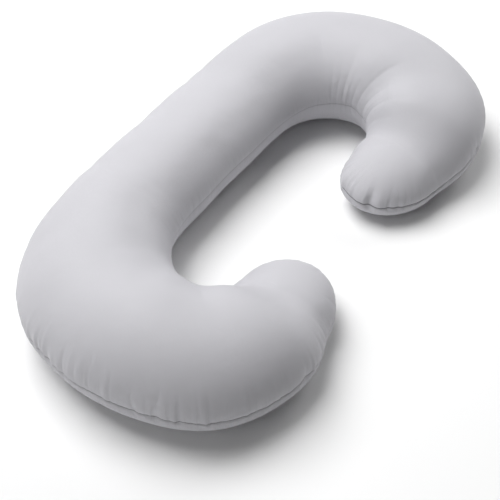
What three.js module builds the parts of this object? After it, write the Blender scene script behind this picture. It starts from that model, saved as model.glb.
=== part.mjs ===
import * as THREE from 'three';

// Pregnancy pillow: a long cushion, filled firmly and curled in the shape of a C.
// A top and a bottom panel of plain smooth cloth meet in one seam round the whole edge.
// Millimetres, +Z up. The back of the C runs along X, its mouth faces -Y, and it rests on z = 0.
// The origin is under the middle of the box that holds the cushion.

// The middle line of one half, from the middle of the back to the centre of the round end.
// at: distance along the middle line.
// bend: degrees that the line turns towards the inside of the C in each 100 mm.
// inside, outside: half widths, from the middle line to the seam on either side.
// crown: height of the cushion over the middle line.
const SECTIONS = [
  { at: 0, bend: -4, inside: 139, outside: 160, crown: 204 },
  { at: 150, bend: 4, inside: 144, outside: 151, crown: 205 },
  { at: 300, bend: 13, inside: 153, outside: 151, crown: 218 },
  { at: 450, bend: 20, inside: 165, outside: 179, crown: 239 },
  { at: 600, bend: 23, inside: 170, outside: 167, crown: 248 },
  { at: 750, bend: 26.5, inside: 166, outside: 165, crown: 240 },
  { at: 900, bend: 28.5, inside: 153, outside: 165, crown: 218 },
  { at: 1050, bend: 22, inside: 132, outside: 120, crown: 155 },
];

// The round end reaches this far past the last section, as a share of the mean half width there.
const END_REACH = 1.37;

// Height of the seam, as a share of the crown.
const SEAM_INSIDE = 0.48;
const SEAM_OUTSIDE = 0.41;

// Fullness of a cross section: 2 is an ellipse, more is squarer and less is more pointed.
const TOP_FULLNESS = 2.05;
const TIP_FULLNESS = 1.7;
const BOTTOM_FULLNESS = 2.3;

// The weight of the filling flattens the underside: this much of it would lie below the surface.
const PRESSED_FLAT = 6;

// The seam draws the cloth in along the edge, and this fades with the height from it.
const SEAM_DRAW = 5;
const SEAM_FADE = 12;

// Soft creases where the seam gathers the cloth.
// half: -1 towards -X, 1 towards +X.
// at: distance along the seam, from the middle of the back's outer edge, on round the end.
// width: along the seam. up, down: how far it runs over the top and the bottom panel.
// depth: into the cushion, or out of it as a ridge where it is less than 0.
const CREASES = [
  { half: -1, at: 805, width: 16, up: 30, down: 15, depth: 3 },
  { half: -1, at: 970, width: 16, up: 55, down: 10, depth: 4 },
  { half: -1, at: 1003, width: 12, up: 45, down: 10, depth: -2 },
  { half: -1, at: 1035, width: 16, up: 45, down: 10, depth: 3 },
  { half: -1, at: 1112, width: 14, up: 35, down: 10, depth: 4 },
  { half: -1, at: 1144, width: 14, up: 30, down: 10, depth: -3 },
  { half: -1, at: 1216, width: 14, up: 30, down: 10, depth: -3 },
  { half: -1, at: 1464, width: 14, up: 25, down: 15, depth: 3 },
  { half: 1, at: 1440, width: 14, up: 30, down: 15, depth: 3 },
  { half: 1, at: 1735, width: 12, up: 30, down: 10, depth: 3 },
  { half: 1, at: 1760, width: 12, up: 20, down: 12, depth: 4 },
  { half: 1, at: 1814, width: 14, up: 30, down: 15, depth: 6 },
  { half: 1, at: 1895, width: 14, up: 15, down: 15, depth: 3 },
  { half: 1, at: 2077, width: 7, up: 40, down: 15, depth: 3 },
  { half: 1, at: 2121, width: 7, up: 85, down: 15, depth: 3 },
  { half: 1, at: 2188, width: 5, up: 90, down: 20, depth: -3 },
  { half: 1, at: 2200, width: 5, up: 95, down: 20, depth: 4 },
];

const CLOTH_COLOUR = 0xd2d2d5;

// Resolution of the solid
const SEAM_STEP = 16;
const END_SPOKES = 28;
const QUARTER_POINTS = 6;
const SEAM_CROWDING = 1.4;

const HALF_LENGTH = SECTIONS[SECTIONS.length - 1].at;
const RIGHT_ANGLE = Math.PI / 2;

function tableValue(column, at) {
  // A column of the table at any place, on a smooth curve through its rows.
  // The rows before the first are the other half's, so the curve is level at the middle of the back.
  const rows = SECTIONS.length;
  const place = Math.min(at / HALF_LENGTH * (rows - 1), rows - 1);
  const row = Math.min(Math.floor(place), rows - 2);
  const part = place - row;
  const start = SECTIONS[row][column];
  const stop = SECTIONS[row + 1][column];
  const before = SECTIONS[Math.abs(row - 1)][column];
  const after = SECTIONS[Math.min(row + 2, rows - 1)][column];
  return start + (stop - before) / 2 * part
    + (before - 2.5 * start + 2 * stop - after / 2) * part ** 2
    + (1.5 * (start - stop) + (after - before) / 2) * part ** 3;
}

function bendAt(at) {
  return THREE.MathUtils.degToRad(tableValue('bend', at)) / 100;
}

function stationAt(at, x, y, heading) {
  // One place on the middle line, with the sizes of the cross section there.
  return {
    at,
    x,
    y,
    heading,
    inside: tableValue('inside', at),
    outside: tableValue('outside', at),
    crown: tableValue('crown', at),
  };
}

function middleLine() {
  // Follows the bends of the table to the centre of the round end.
  // The stations are closer together where the bend stretches the outer edge.
  const stations = [stationAt(0, 0, 0, 0)];
  for (let row = 1; row < SECTIONS.length; row += 1) {
    const start = SECTIONS[row - 1].at;
    const length = SECTIONS[row].at - start;
    const middle = start + length / 2;
    const stretch = 1 + tableValue('outside', middle) * bendAt(middle);
    const steps = Math.ceil(length * stretch / SEAM_STEP);
    const step = length / steps;
    for (let number = 1; number <= steps; number += 1) {
      const last = stations[stations.length - 1];
      const turn = bendAt(last.at + step / 2) * step;
      const direction = last.heading + turn / 2;
      const x = last.x + step * Math.cos(direction);
      const y = last.y - step * Math.sin(direction);
      stations.push(stationAt(start + number * step, x, y, last.heading + turn));
    }
  }
  return stations;
}

function spoke(station, sideways, ahead, turned) {
  // A line over the cushion from the middle line out to the seam.
  // turned is 0 on the outer side and grows round the end to half a turn on the inner side.
  const { x, y, heading, crown } = station;
  return {
    station,
    turned,
    crown,
    seam: crown * THREE.MathUtils.lerp(SEAM_INSIDE, SEAM_OUTSIDE, (1 + Math.cos(turned)) / 2),
    edgeX: x + sideways * Math.sin(heading) + ahead * Math.cos(heading),
    edgeY: y + sideways * Math.cos(heading) - ahead * Math.sin(heading),
    length: Math.hypot(sideways, ahead),
  };
}

function halfSpokes() {
  // Spokes along the outer edge of one half, round the end and back along the inner edge.
  const stations = middleLine();
  const last = stations[stations.length - 1];
  const girth = (last.inside + last.outside) / 2;
  const spokes = stations.map((station) => spoke(station, station.outside, 0, 0));
  for (let number = 1; number < END_SPOKES; number += 1) {
    const turned = Math.PI * number / END_SPOKES;
    const sideways = girth * Math.cos(turned) + (last.outside - last.inside) / 2;
    spokes.push(spoke(last, sideways, END_REACH * girth * Math.sin(turned), turned));
  }
  spokes.push(...stations.map((station) => spoke(station, -station.inside, 0, Math.PI)).reverse());
  let at = 0;
  return spokes.map((one, number) => {
    const before = spokes[Math.max(number - 1, 0)];
    at += Math.hypot(one.edgeX - before.edgeX, one.edgeY - before.edgeY);
    return { ...one, at };
  });
}

function creaseDepth(half, at, above) {
  // Depth of all creases at one point, above being its height over the seam, or less than 0 below it.
  return CREASES.filter((crease) => crease.half === half).reduce((sum, crease) => {
    const along = (at - crease.at) / crease.width;
    const off = above / (above > 0 ? crease.up : crease.down);
    return sum + crease.depth * Math.exp(-(along ** 2) - off ** 2);
  }, 0);
}

function spokePoint(one, half, level) {
  // Level 0 is the crown, QUARTER_POINTS the seam and twice that the middle of the underside.
  const fromSeam = QUARTER_POINTS - level;
  const angle = RIGHT_ANGLE * (Math.abs(fromSeam) / QUARTER_POINTS) ** SEAM_CROWDING;
  const topFullness = THREE.MathUtils.lerp(TOP_FULLNESS, TIP_FULLNESS, Math.sin(one.turned));
  const power = 2 / (fromSeam > 0 ? topFullness : BOTTOM_FULLNESS);
  const outward = Math.cos(angle) ** power;
  const lift = Math.sin(angle) ** power;
  const top = one.seam + lift * (one.crown - one.seam);
  const bottom = Math.max(0, one.seam - lift * (one.seam + PRESSED_FLAT));
  const z = fromSeam > 0 ? top : bottom;
  const drawn = SEAM_DRAW * Math.exp(-Math.abs(z - one.seam) / SEAM_FADE);
  const inward = (drawn + creaseDepth(half, one.at, z - one.seam)) * outward;
  const reach = outward - inward / one.length;
  const x = THREE.MathUtils.lerp(one.station.x, one.edgeX, reach);
  const y = THREE.MathUtils.lerp(one.station.y, one.edgeY, reach);
  return [half * x, y, z];
}

function pillowGeometry() {
  // The spokes run once round the cushion. Both sides share the points on the middle line.
  const right = halfSpokes();
  const loop = [
    ...right.map((one) => ({ one, half: 1 })),
    ...right.slice(1, -1).reverse().map((one) => ({ one, half: -1 })),
  ];
  const levels = 2 * QUARTER_POINTS;
  const points = [];
  const names = new Map();
  const pointAt = ({ one, half }, level) => {
    const onMiddle = level === 0 || level === levels;
    const edge = onMiddle ? 0 : one.at;
    const name = [one.station.at * half, edge * half, level].join(' ');
    if (!names.has(name)) {
      names.set(name, points.length / 3);
      points.push(...spokePoint(one, half, level));
    }
    return names.get(name);
  };
  const faces = [];
  const addFace = (...corners) => {
    if (new Set(corners).size === 3) {
      faces.push(...corners);
    }
  };
  loop.forEach((here, number) => {
    const next = loop[(number + 1) % loop.length];
    for (let level = 0; level < levels; level += 1) {
      const inner = pointAt(here, level);
      const outer = pointAt(here, level + 1);
      const nextInner = pointAt(next, level);
      const nextOuter = pointAt(next, level + 1);
      addFace(inner, nextOuter, outer);
      addFace(inner, nextInner, nextOuter);
    }
  });
  const geometry = new THREE.BufferGeometry();
  geometry.setAttribute('position', new THREE.Float32BufferAttribute(points, 3));
  geometry.setIndex(faces);
  geometry.computeVertexNormals();
  return geometry;
}

function pillow() {
  const cloth = new THREE.MeshStandardMaterial({ color: CLOTH_COLOUR, roughness: 0.7, metalness: 0 });
  const mesh = new THREE.Mesh(pillowGeometry(), cloth);
  mesh.name = 'pillow';
  const middle = new THREE.Box3().setFromObject(mesh).getCenter(new THREE.Vector3());
  mesh.position.set(-middle.x, -middle.y, 0);
  return mesh;
}

const object = new THREE.Group();
object.add(pillow());

export default object;
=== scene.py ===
import math
import random

import bpy
import numpy as np
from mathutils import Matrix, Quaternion, Vector


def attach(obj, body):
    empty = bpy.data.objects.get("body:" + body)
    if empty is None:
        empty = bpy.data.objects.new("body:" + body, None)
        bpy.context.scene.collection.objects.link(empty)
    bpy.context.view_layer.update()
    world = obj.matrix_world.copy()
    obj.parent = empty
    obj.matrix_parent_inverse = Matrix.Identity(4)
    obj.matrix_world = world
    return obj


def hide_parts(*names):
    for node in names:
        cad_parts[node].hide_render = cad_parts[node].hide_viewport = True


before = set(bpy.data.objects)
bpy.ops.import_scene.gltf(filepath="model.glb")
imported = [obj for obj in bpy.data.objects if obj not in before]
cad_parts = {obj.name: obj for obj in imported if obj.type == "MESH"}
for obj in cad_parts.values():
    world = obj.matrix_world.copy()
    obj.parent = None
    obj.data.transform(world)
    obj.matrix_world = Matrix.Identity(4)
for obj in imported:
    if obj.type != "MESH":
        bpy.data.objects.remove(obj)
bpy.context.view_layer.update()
bpy.ops.object.select_all(action="DESELECT")

# Camera
# It looks down on the pillow from beyond its left end, from 2.6 m away with a 76 mm lens, which gives the
# strong narrowing towards the far end. It is tipped by a little more than one degree.
AIM = Vector((-0.1107, -0.0405, 0.0))
LOOK_AZIMUTH = math.radians(-54.85)
LOOK_ELEVATION = math.radians(46.87)
LOOK_DISTANCE = 2.576
CAMERA_TIP = math.radians(-1.33)
LENS = 75.9
FILM_WIDTH = 36
away = Vector((
    math.sin(LOOK_AZIMUTH) * math.cos(LOOK_ELEVATION),
    -math.cos(LOOK_AZIMUTH) * math.cos(LOOK_ELEVATION),
    math.sin(LOOK_ELEVATION),
))
bpy.ops.object.camera_add(location=AIM + away * LOOK_DISTANCE)
camera = bpy.context.object
camera.data.lens = LENS
camera.data.sensor_width = FILM_WIDTH
look = (-away).to_track_quat("-Z", "Y") @ Quaternion((0, 0, 1), CAMERA_TIP)
camera.rotation_euler = look.to_euler()
bpy.context.scene.camera = camera

# Cushion
# Two equal C-shaped panels of smooth woven cloth, sewn together round the whole edge, turned right side out
# and filled firmly. The mesh is laid out as the panels are: in spokes that run from the middle line of the
# C out to the seam, and back under the cushion.
SECTIONS = [
    # place on the middle line, bend of the left and the right half in degrees for each metre,
    # half widths to both seams, height of the crown
    {"at": 0.0000, "left": -50, "right": -50, "inside": 0.138, "outside": 0.165, "crown": 0.203},
    {"at": 0.1035, "left": 10, "right": 4, "inside": 0.145, "outside": 0.160, "crown": 0.203},
    {"at": 0.2070, "left": 97, "right": 65, "inside": 0.149, "outside": 0.153, "crown": 0.205},
    {"at": 0.3105, "left": 146, "right": 144, "inside": 0.155, "outside": 0.156, "crown": 0.218},
    {"at": 0.4140, "left": 172, "right": 228, "inside": 0.165, "outside": 0.177, "crown": 0.232},
    {"at": 0.5175, "left": 221, "right": 244, "inside": 0.168, "outside": 0.194, "crown": 0.235},
    {"at": 0.6210, "left": 238, "right": 227, "inside": 0.164, "outside": 0.181, "crown": 0.239},
    {"at": 0.7245, "left": 282, "right": 277, "inside": 0.157, "outside": 0.179, "crown": 0.239},
    {"at": 0.8280, "left": 305, "right": 285, "inside": 0.147, "outside": 0.191, "crown": 0.221},
    {"at": 0.9315, "left": 290, "right": 279, "inside": 0.129, "outside": 0.168, "crown": 0.204},
    {"at": 1.0350, "left": 208, "right": 241, "inside": 0.115, "outside": 0.130, "crown": 0.144},
]
HALF_LENGTH = SECTIONS[-1]["at"]
# The round end reaches this far past the last row, as a share of the mean half width there.
END_REACH = 1.30
# Height of the seam, as a share of the crown.
SEAM_INSIDE = 0.48
SEAM_OUTSIDE = 0.40
# Fullness of a cross section: 2 is an ellipse, more is squarer and less is more pointed.
TOP_FULLNESS = 2.06
TIP_FULLNESS = 1.65
BOTTOM_FULLNESS = 2.25
# The weight of the filling flattens the underside: this much of it would lie below the floor.
PRESSED_FLAT = 0.006
# The seam draws the cloth in along the edge, and this fades with the height from it.
SEAM_DRAW = 0.003
SEAM_FADE = 0.010
# The points of the mesh: the step along the edge, the spokes round an end, the rows from the crown to the
# seam and on to the middle of the underside, and how strongly the rows crowd towards the seam.
EDGE_STEP = 0.0076
END_SPOKES = 56
TOP_LEVELS = 14
UNDER_LEVELS = 8
TOP_CROWDING = 1.5
UNDER_CROWDING = 1.8
# A middle line that bends less than this, in radians for each metre, counts as straight in the flat panel.
SLIGHTEST_BEND = 1e-3
# On the inner side the flat panel covers this share of the way to the centre of the bend.
PANEL_TO_CENTRE = 0.85


def table_value(column, at):
    """A column of the table at any place, on a smooth curve through its rows."""
    last = len(SECTIONS) - 1
    place = min(at / HALF_LENGTH * last, last)
    row = min(int(place), last - 1)
    part = place - row
    before, start, stop, after = (
        SECTIONS[index][column] for index in (abs(row - 1), row, row + 1, last - abs(last - row - 2))
    )
    return (
        start
        + (stop - before) / 2 * part
        + (before - 2.5 * start + 2 * stop - after / 2) * part**2
        + (1.5 * (start - stop) + (after - before) / 2) * part**3
    )


def bend_at(at, side):
    """Bend of the middle line of one half, in radians for each metre."""
    return math.radians(table_value(side, at))


def station_at(at, x, y, heading, side):
    """One place on the middle line, with the sizes of the cross section there."""
    sizes = {column: table_value(column, at) for column in ("inside", "outside", "crown")}
    return {"at": at, "x": x, "y": y, "heading": heading, "bend": bend_at(at, side), **sizes}


def middle_line(side):
    """Stations from the middle of the back to the centre of the round end, closer where the line bends."""
    stations = [station_at(0.0, 0.0, 0.0, 0.0, side)]
    for row in range(1, len(SECTIONS)):
        start = SECTIONS[row - 1]["at"]
        length = SECTIONS[row]["at"] - start
        middle = start + length / 2
        stretch = 1 + table_value("outside", middle) * bend_at(middle, side)
        steps = math.ceil(length * stretch / EDGE_STEP)
        step = length / steps
        for number in range(1, steps + 1):
            last = stations[-1]
            turn = bend_at(last["at"] + step / 2, side) * step
            direction = last["heading"] + turn / 2
            x = last["x"] + step * math.cos(direction)
            y = last["y"] - step * math.sin(direction)
            stations.append(station_at(start + number * step, x, y, last["heading"] + turn, side))
    return stations


def spoke(station, sideways, ahead, turned):
    """A line over the cushion from the middle line to the seam, turned from 0 outside to pi inside."""
    sine, cosine = math.sin(station["heading"]), math.cos(station["heading"])
    outer_share = (1 + math.cos(turned)) / 2
    return {
        "foot": np.array((station["x"], station["y"])),
        "edge": np.array((
            station["x"] + sideways * sine + ahead * cosine,
            station["y"] + sideways * cosine - ahead * sine,
        )),
        "station": station["at"],
        "turned": turned,
        "crown": station["crown"],
        "seam": station["crown"] * (SEAM_INSIDE + (SEAM_OUTSIDE - SEAM_INSIDE) * outer_share),
        "length": math.hypot(sideways, ahead),
        "radius": 1 / max(station["bend"], SLIGHTEST_BEND),
    }


def half_spokes(side):
    """Spokes along the outer edge of one half, round the end and back along the inner edge."""
    stations = middle_line(side)
    last = stations[-1]
    girth = (last["inside"] + last["outside"]) / 2
    spokes = [spoke(station, station["outside"], 0, 0) for station in stations]
    for number in range(1, END_SPOKES):
        turned = math.pi * number / END_SPOKES
        sideways = girth * math.cos(turned) + (last["outside"] - last["inside"]) / 2
        spokes.append(spoke(last, sideways, END_REACH * girth * math.sin(turned), turned))
    spokes += [spoke(station, -station["inside"], 0, math.pi) for station in reversed(stations)]
    at = 0.0
    for before, one in zip([spokes[0]] + spokes, spokes):
        at += np.linalg.norm(one["edge"] - before["edge"])
        one["at"] = at
    return spokes


def spoke_profile(one):
    """Share of the spoke's length and height for each level, from the crown over the seam to the underside."""
    top_fullness = TOP_FULLNESS + (TIP_FULLNESS - TOP_FULLNESS) * math.sin(one["turned"])
    profile = []
    for level in range(TOP_LEVELS, 0, -1):
        angle = math.pi / 2 * (level / TOP_LEVELS) ** TOP_CROWDING
        share = max(math.cos(angle), 0) ** (2 / top_fullness)
        lift = math.sin(angle) ** (2 / top_fullness)
        profile.append((share, one["seam"] + lift * (one["crown"] - one["seam"])))
    for level in range(UNDER_LEVELS + 1):
        angle = math.pi / 2 * (level / UNDER_LEVELS) ** UNDER_CROWDING
        share = max(math.cos(angle), 0) ** (2 / BOTTOM_FULLNESS)
        lift = math.sin(angle) ** (2 / BOTTOM_FULLNESS)
        profile.append((share, max(0.0, one["seam"] - lift * (one["seam"] + PRESSED_FLAT))))
    return np.array(profile)


left, right = half_spokes("left"), half_spokes("right")
loop = [(one, 1) for one in right] + [(one, -1) for one in left[-2:0:-1]]
levels = TOP_LEVELS + UNDER_LEVELS
numbers, points, flat, along, off_seam = {}, [], [], [], []
grid = []
for one, half in loop:
    profile = spoke_profile(one)
    height = profile[:, 1] - one["seam"]
    drawn = SEAM_DRAW * np.exp(-np.abs(height) / SEAM_FADE)
    share = profile[:, 0] - drawn * profile[:, 0] / one["length"]
    steps = np.hypot(np.diff(share) * one["length"], np.diff(profile[:, 1]))
    arc = np.concatenate(([0], np.cumsum(steps)))
    to_seam = arc[TOP_LEVELS]
    underneath = arc[-1] - to_seam
    cloth = np.where(arc <= to_seam, arc, (arc[-1] - arc) * to_seam / underneath)
    if one["turned"] == math.pi:
        cloth = cloth * min(1, PANEL_TO_CENTRE * one["radius"] / to_seam)
    out = (one["edge"] - one["foot"]) / one["length"]
    # Spokes from one place on the middle line share their points on the crown and under it.
    row = []
    for level in range(levels + 1):
        shared = level in (0, levels)
        name = (round(one["station"] * half, 6), 0 if shared else round(one["at"] * half, 6), level)
        if name not in numbers:
            numbers[name] = len(points)
            x, y = one["foot"] + out * share[level] * one["length"]
            points.append((half * x, y, profile[level, 1]))
            u, v = one["foot"] + out * cloth[level]
            flat.append((half * u, v))
            along.append(one["at"])
            off_seam.append(to_seam - arc[level])
        row.append(numbers[name])
    grid.append(row)
faces = []
for here, after in zip(grid, grid[1:] + grid[:1]):
    for level in range(levels):
        corners = (here[level], after[level], after[level + 1], here[level + 1])
        faces.append(tuple(dict.fromkeys(corners)))
points = np.array(points)
points[:, :2] -= (points[:, :2].min(axis=0) + points[:, :2].max(axis=0)) / 2
cushion_mesh = bpy.data.meshes.new("pillow_cushion")
cushion_mesh.from_pydata(points.tolist(), [], faces)
panel = cushion_mesh.uv_layers.new(name="panel")
flat = np.array(flat)
corner_points = np.empty(len(cushion_mesh.loops), dtype=np.int32)
cushion_mesh.loops.foreach_get("vertex_index", corner_points)
panel.data.foreach_set("uv", flat[corner_points].ravel())
for name, values in (("along_seam", along), ("off_seam", off_seam)):
    attribute = cushion_mesh.attributes.new(name, "FLOAT", "POINT")
    attribute.data.foreach_set("value", values)
cushion = bpy.data.objects.new("pillow_cushion", cushion_mesh)
bpy.context.collection.objects.link(cushion)
bpy.context.view_layer.objects.active = cushion
cushion.select_set(True)


def point_places(mesh):
    """Every point's place, one row each."""
    places = np.empty(len(mesh.vertices) * 3)
    mesh.vertices.foreach_get("co", places)
    return places.reshape(-1, 3)


def point_normals(mesh):
    """The direction out of the cushion at every point."""
    normals = np.empty(len(mesh.vertices) * 3)
    mesh.vertex_normals.foreach_get("vector", normals)
    return normals.reshape(-1, 3)


def point_values(mesh, name):
    """A named value of every point."""
    values = np.empty(len(mesh.vertices))
    mesh.attributes[name].data.foreach_get("value", values)
    return values


def place_points(mesh, places):
    """Moves every point to its new place, but none below the floor."""
    places[:, 2] = np.maximum(places[:, 2], 0)
    mesh.vertices.foreach_set("co", places.ravel())
    mesh.update()


def press(mesh, depth):
    """Moves every point into the cushion by its own depth."""
    place_points(mesh, point_places(mesh) - point_normals(mesh) * depth[:, None])


def smoothed(mesh, values, rounds):
    """The values after these rounds, each of which takes a point halfway to the mean of its neighbours."""
    ends = np.empty(len(mesh.edges) * 2, dtype=np.int32)
    mesh.edges.foreach_get("vertices", ends)
    first, second = ends.reshape(-1, 2).T
    count = len(values)
    neighbours = np.bincount(first, minlength=count) + np.bincount(second, minlength=count)
    for _ in range(rounds):
        beside = [
            np.bincount(first, values[second, axis], count) + np.bincount(second, values[first, axis], count)
            for axis in range(3)
        ]
        values = (values + np.array(beside).T / neighbours[:, None]) / 2
    return values


# The first four rows are broad: they fill the neck of either arm and the outer edge of its curl, or draw
# them in. The others are the folds that the bend of the C presses into the panels.
# half (-1 towards -X, 1 towards +X), place along the seam from the middle of the back, width along it,
# reach from the seam over the top and under it, and depth, which is below 0 for a ridge
FOLDS = [
    (-1, 1.530, 0.090, 0.080, 0.080, -0.0045),
    (-1, 2.084, 0.036, 0.120, 0.045, -0.0095),
    (1, 1.912, 0.050, 0.060, 0.060, -0.0060),
    (1, 2.000, 0.030, 0.100, 0.060, 0.0050),
    (-1, 0.824, 0.016, 0.040, 0.015, 0.0015),
    (-1, 0.971, 0.020, 0.075, 0.010, 0.0012),
    (-1, 1.038, 0.016, 0.055, 0.010, 0.0010),
    (-1, 1.116, 0.014, 0.045, 0.010, 0.0015),
    (-1, 1.470, 0.014, 0.035, 0.020, 0.0025),
    (1, 1.445, 0.014, 0.035, 0.020, 0.0025),
    (1, 1.736, 0.012, 0.035, 0.010, 0.0015),
    (1, 1.762, 0.012, 0.030, 0.012, 0.0020),
    (1, 1.813, 0.014, 0.040, 0.015, 0.0040),
    (1, 1.887, 0.014, 0.015, 0.020, 0.0020),
    (1, 2.069, 0.004, 0.045, 0.015, 0.0012),
    (1, 2.083, 0.005, 0.060, 0.015, 0.0012),
    (1, 2.106, 0.003, 0.090, 0.015, 0.0010),
    (1, 2.117, 0.003, 0.060, 0.015, -0.0006),
    (1, 2.129, 0.003, 0.120, 0.015, 0.0010),
    (1, 2.141, 0.003, 0.090, 0.015, -0.0008),
    (1, 2.152, 0.003, 0.100, 0.015, 0.0010),
    (1, 2.173, 0.003, 0.110, 0.015, 0.0010),
    (1, 2.189, 0.003, 0.080, 0.015, 0.0006),
    (1, 2.206, 0.003, 0.085, 0.020, -0.0010),
    (1, 2.215, 0.003, 0.095, 0.020, 0.0011),
    (1, 2.230, 0.003, 0.090, 0.015, 0.0006),
    (1, 2.244, 0.004, 0.110, 0.015, 0.0008),
]


def fold_depth(table, half, along, off):
    """Depth of all the folds of a table at each point."""
    total = np.zeros(len(along))
    for side, place, width, up, under, depth in table:
        reach = np.where(off > 0, off / up, off / under)
        total += depth * np.exp(-(((along - place) / width) ** 2) - reach**2) * (half == side)
    return total


half = np.where(points[:, 0] < 0, -1, 1)
press(cushion_mesh, fold_depth(FOLDS, half, np.array(along), np.array(off_seam)))

# The filling presses the cloth out, and the seam is a little shorter than the cloth, so it gathers. The
# panels keep their place as a whole. The folds that the cloth makes by itself stay, softened and limited.
SHORTER_SEAM = 0.03
GATHERED_BAND = 0.03
FILLING_STEPS = 20
WHOLE_ROUNDS = 150
SOFTENING_ROUNDS = 8
MOST_MOVED = 0.005
start = point_places(cushion_mesh)
gathered = cushion.vertex_groups.new(name="gathered")
for number, value in enumerate(off_seam):
    if abs(value) < GATHERED_BAND:
        gathered.add([number], 1 - abs(value) / GATHERED_BAND, "REPLACE")
bpy.ops.object.modifier_add(type="CLOTH")
filling = cushion.modifiers["Cloth"]
filling.settings.quality = 6
filling.settings.mass = 0.2
filling.settings.tension_stiffness = 25
filling.settings.compression_stiffness = 25
filling.settings.shear_stiffness = 8
filling.settings.bending_stiffness = 0.2
filling.settings.vertex_group_shrink = "gathered"
filling.settings.shrink_max = SHORTER_SEAM
filling.settings.use_pressure = True
filling.settings.uniform_pressure_force = 4
filling.settings.effector_weights.gravity = 0
filling.collision_settings.use_self_collision = False
filling.point_cache.frame_start = 1
filling.point_cache.frame_end = FILLING_STEPS
for number in range(1, FILLING_STEPS + 1):
    bpy.context.scene.frame_set(number)
bpy.ops.object.modifier_apply(modifier="Cloth")
bpy.context.scene.frame_set(1)
moved = point_places(cushion_mesh) - start
folds = smoothed(cushion_mesh, moved - smoothed(cushion_mesh, moved, WHOLE_ROUNDS), SOFTENING_ROUNDS)
distance = np.linalg.norm(folds, axis=1)
folds *= (MOST_MOVED / (MOST_MOVED + distance))[:, None]
place_points(cushion_mesh, start + folds)

# The finer mesh holds the puckers and the seam.
bpy.ops.object.modifier_add(type="SUBSURF")
cushion.modifiers["Subdivision"].levels = 1
cushion.modifiers["Subdivision"].render_levels = 1
bpy.ops.object.modifier_apply(modifier="Subdivision")

# Short puckers where the sewing thread draws the cloth together, in the order of the table of folds
PUCKERS = [
    (-1, 0.661, 0.008, 0.045, 0.010, 0.0015),
    (-1, 0.722, 0.007, 0.035, 0.010, 0.0015),
    (-1, 0.739, 0.007, 0.035, 0.010, 0.0015),
    (-1, 0.765, 0.008, 0.035, 0.010, 0.0015),
    (-1, 0.790, 0.007, 0.035, 0.010, 0.0015),
    (-1, 0.824, 0.008, 0.030, 0.010, 0.0020),
    (-1, 0.926, 0.007, 0.045, 0.010, -0.0015),
    (-1, 0.979, 0.005, 0.050, 0.008, 0.0016),
    (-1, 0.989, 0.005, 0.040, 0.008, 0.0012),
    (-1, 1.006, 0.005, 0.045, 0.010, -0.0014),
    (-1, 1.024, 0.005, 0.045, 0.008, 0.0018),
    (-1, 1.061, 0.006, 0.045, 0.008, 0.0025),
    (-1, 1.116, 0.006, 0.038, 0.008, 0.0025),
    (-1, 1.126, 0.006, 0.038, 0.010, -0.0020),
    (-1, 1.155, 0.006, 0.036, 0.010, -0.0020),
    (-1, 1.165, 0.006, 0.034, 0.008, 0.0020),
    (-1, 1.222, 0.007, 0.036, 0.010, -0.0020),
    (-1, 1.470, 0.007, 0.028, 0.020, 0.0025),
    (-1, 1.495, 0.006, 0.022, 0.010, -0.0015),
    (1, 1.445, 0.007, 0.030, 0.020, 0.0025),
    (1, 1.689, 0.007, 0.035, 0.015, -0.0020),
    (1, 1.736, 0.006, 0.030, 0.015, 0.0025),
    (1, 1.762, 0.005, 0.026, 0.015, 0.0036),
    (1, 1.813, 0.007, 0.030, 0.018, 0.0060),
    (1, 1.828, 0.006, 0.025, 0.012, -0.0020),
    (1, 1.861, 0.006, 0.018, 0.018, 0.0020),
    (1, 1.892, 0.006, 0.018, 0.018, 0.0020),
    (1, 1.923, 0.006, 0.018, 0.015, 0.0020),
]
# Between them lie small uneven gathers, strongest where the edge of the end is strongly curved.
GATHER_PLACES = (0, 0.6, 0.8, 1.3, 1.5, 1.95, 2.1, 2.6)
GATHER_STRENGTHS = (0.15, 0.5, 1, 1, 0.7, 0.7, 0.3, 0.15)
draw = random.Random(11)
for side in (-1, 1):
    place = 0.0
    while place < GATHER_PLACES[-1]:
        strength = np.interp(place, GATHER_PLACES, GATHER_STRENGTHS)
        width = draw.uniform(0.0035, 0.006)
        up = draw.uniform(0.02, 0.03 + 0.045 * strength)
        depth = strength * draw.uniform(-0.0022, 0.0026)
        under = draw.uniform(0.008, 0.02)
        PUCKERS.append((side, place, width, up, under, depth))
        place += draw.uniform(0.006, 0.014)
# No pucker reaches further than this from the seam.
PUCKERED_BAND = 0.14
# The thread holds the puckers down in the seam itself, by this share and this far from it.
HELD_DOWN = 0.6
HELD_BAND = 0.003
# The seam is a narrow groove, deeper outside. The inner side starts between these places along it.
INNER_SIDE = (1.95, 2.1)
GROOVE_DEPTHS = (0.0020, 0.0010)
GROOVE_WIDTH = 0.0020
off = point_values(cushion_mesh, "off_seam")
along = point_values(cushion_mesh, "along_seam")
half = np.where(point_places(cushion_mesh)[:, 0] < 0, -1, 1)
near = np.abs(off) < PUCKERED_BAND
depth = np.zeros(len(off))
depth[near] = fold_depth(PUCKERS, half[near], along[near], off[near])
depth *= 1 - HELD_DOWN * np.exp(-((off / HELD_BAND) ** 2))
depth += np.interp(along, INNER_SIDE, GROOVE_DEPTHS) * np.exp(-((off / GROOVE_WIDTH) ** 2))
press(cushion_mesh, depth)
bpy.ops.object.shade_smooth()

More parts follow.
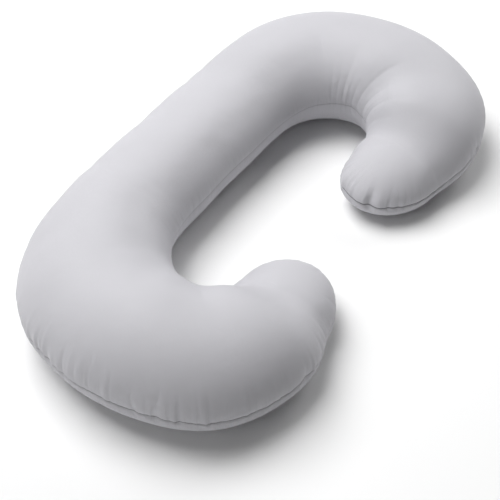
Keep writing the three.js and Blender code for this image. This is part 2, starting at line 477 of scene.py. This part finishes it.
# The cloth is a fine plain weave of smooth polyester in light grey, half a millimetre from thread to thread,
# with a faint silky bloom. The threads are a little uneven and the dye a little cloudy.
LIGHT_GREY = (0.532, 0.527, 0.556)
BLOOM = (0.9, 0.9, 0.95, 1)
ROUGHNESS = 0.50
THREAD = 0.0005
STITCH = 0.003
FULL_TURN = 2 * math.pi
cloth = bpy.data.materials.new("grey_cloth")
cloth.use_nodes = True
nodes, links = cloth.node_tree.nodes, cloth.node_tree.links
shader = nodes["Principled BSDF"]
shader.inputs["Specular IOR Level"].default_value = 0.35
shader.inputs["Sheen Weight"].default_value = 0.12
shader.inputs["Sheen Roughness"].default_value = 0.35
shader.inputs["Sheen Tint"].default_value = BLOOM


def add(kind, **settings):
    """A new node with its settings."""
    node = nodes.new(kind)
    for name, value in settings.items():
        setattr(node, name, value)
    return node


def maths(operation, first, second=0):
    """One step of arithmetic. Each side is a socket or a number."""
    node = add("ShaderNodeMath", operation=operation)
    for socket, value in zip(node.inputs, (first, second)):
        if isinstance(value, (int, float)):
            socket.default_value = value
        else:
            links.new(value, socket)
    return node.outputs[0]


def remapped(value, from_low, from_high, to_low, to_high):
    """The value taken smoothly from one range to another."""
    node = add("ShaderNodeMapRange", interpolation_type="SMOOTHSTEP")
    links.new(value, node.inputs["Value"])
    ranges = {"From Min": from_low, "From Max": from_high, "To Min": to_low, "To Max": to_high}
    for name, number in ranges.items():
        node.inputs[name].default_value = number
    return node.outputs["Result"]


def noise(vector, scale, detail):
    """A soft random pattern with so many spots to the metre."""
    node = add("ShaderNodeTexNoise")
    node.inputs["Scale"].default_value = scale
    node.inputs["Detail"].default_value = detail
    links.new(vector, node.inputs["Vector"])
    return node.outputs["Fac"]


# Weave and uneven threads follow the flat panel. Clouds and rumple run through the whole cushion.
panel_place = add("ShaderNodeUVMap", uv_map="panel").outputs["UV"]
object_place = add("ShaderNodeTexCoord").outputs["Object"]
across_and_up = add("ShaderNodeSeparateXYZ")
links.new(panel_place, across_and_up.inputs[0])
warp = maths("SINE", maths("MULTIPLY", across_and_up.outputs["X"], FULL_TURN / THREAD))
weft = maths("SINE", maths("MULTIPLY", across_and_up.outputs["Y"], FULL_TURN / THREAD))
weave = maths("MULTIPLY", warp, weft)
slub_place = add("ShaderNodeMapping")
slub_place.inputs["Scale"].default_value = (1, 12, 1)
links.new(panel_place, slub_place.inputs["Vector"])
slubs = noise(slub_place.outputs["Vector"], 90, 3)
clouds = noise(object_place, 5, 3)
rumple = noise(object_place, 28, 2)

# Stitches and faint gathers follow the seam.
seam_offset = add("ShaderNodeAttribute", attribute_name="off_seam").outputs["Fac"]
seam_gap = maths("ABSOLUTE", seam_offset)
seam_run = add("ShaderNodeAttribute", attribute_name="along_seam").outputs["Fac"]
stitch = maths("SINE", maths("MULTIPLY", seam_run, FULL_TURN / STITCH))
stitch_pull = maths("MULTIPLY", stitch, remapped(seam_gap, 0.001, 0.004, 1, 0))
gather_place = add("ShaderNodeCombineXYZ")
links.new(seam_run, gather_place.inputs["X"])
links.new(maths("MULTIPLY", seam_offset, 0.14), gather_place.inputs["Y"])
gathers = noise(gather_place.outputs[0], 95, 2)
gathers = maths("MULTIPLY", gathers, remapped(seam_gap, 0.004, 0.075, 1, 0))

# The colour's brightness is the dye's clouds and threads, times a painted shadow in the groove of the seam,
# with a little dark thread there. The painted shadow is lighter on the inner side.
OUTER_SEAM_PAINTED_SHADOW = 0.42
INNER_SEAM_PAINTED_SHADOW = 0.82
# Painted crease shadow of the seam: darkest in the groove, and on the inner side no darker than its own share.
outer_seam_shadow = remapped(seam_gap, 0.0004, 0.0020, OUTER_SEAM_PAINTED_SHADOW, 1)
inner_seam_shadow = remapped(seam_run, *INNER_SIDE, 0, INNER_SEAM_PAINTED_SHADOW)
dye_and_seam_shadow = remapped(clouds, 0.3, 0.7, 0.975, 1.015)
for threads, share in ((slubs, 0.03), (weave, 0.015)):
    dye_and_seam_shadow = maths("ADD", dye_and_seam_shadow, maths("MULTIPLY", threads, share))
# The painted crease shadow of the seam darkens the dyed colour here.
dye_and_seam_shadow = maths("MULTIPLY", dye_and_seam_shadow, maths("MAXIMUM", outer_seam_shadow, inner_seam_shadow))
dyed = add("ShaderNodeVectorMath", operation="SCALE")
dyed.inputs[0].default_value = LIGHT_GREY
links.new(dye_and_seam_shadow, dyed.inputs["Scale"])
links.new(dyed.outputs[0], shader.inputs["Base Color"])
links.new(maths("ADD", maths("MULTIPLY", slubs, 0.12), ROUGHNESS), shader.inputs["Roughness"])

# Each kind of relief with its height in metres
relief = maths("MULTIPLY", weave, 0.00004)
for pattern, height in ((gathers, 0.0015), (slubs, 0.00006), (rumple, 0.0008), (stitch_pull, 0.0003)):
    relief = maths("ADD", relief, maths("MULTIPLY", pattern, height))
bump = add("ShaderNodeBump")
bump.inputs["Distance"].default_value = 1.0
bump.inputs["Strength"].default_value = 1.0
links.new(relief, bump.inputs["Height"])
links.new(bump.outputs["Normal"], shader.inputs["Normal"])
cushion_mesh.materials.append(cloth)
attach(cushion, "root")
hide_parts("pillow")

# Floor
# A plain white surface under the pillow, wide enough to fill the view from any side, with no shine.
bpy.ops.mesh.primitive_plane_add(size=40, location=(0, 0, 0))
floor = bpy.context.object
floor.name = "floor"
floor_paint = bpy.data.materials.new("floor_white")
floor_paint.use_nodes = True
paint = floor_paint.node_tree.nodes["Principled BSDF"]
paint.inputs["Base Color"].default_value = (0.93, 0.93, 0.93, 1)
paint.inputs["Roughness"].default_value = 0.9
floor.data.materials.append(floor_paint)

# Light
# A wide softbox nearly overhead, a little behind the pillow, and two weak ones to its left and behind its
# right end. The room itself gives little light.
ROOM_LIGHT = 0.09
SOFTBOXES = [
    # place, side of the square and power
    ((0.3, 2.8, 5.4), 5.0, 470),
    ((-4.4, 1.6, 2.4), 2.5, 32),
    ((4.6, -0.6, 2.4), 2.5, 85),
]
LIT_PLACE = Vector((0, 0, 0.1))
for place, side, power in SOFTBOXES:
    bpy.ops.object.light_add(type="AREA", location=place)
    softbox = bpy.context.object
    softbox.data.size = side
    softbox.data.energy = power
    softbox.rotation_euler = (LIT_PLACE - softbox.location).to_track_quat("-Z", "Y").to_euler()
world = bpy.data.worlds.new("studio")
bpy.context.scene.world = world
world.use_nodes = True
background = world.node_tree.nodes["Background"]
background.inputs["Color"].default_value = (1, 1, 1, 1)
background.inputs["Strength"].default_value = ROOM_LIGHT
bpy.context.scene.view_settings.view_transform = "Standard"
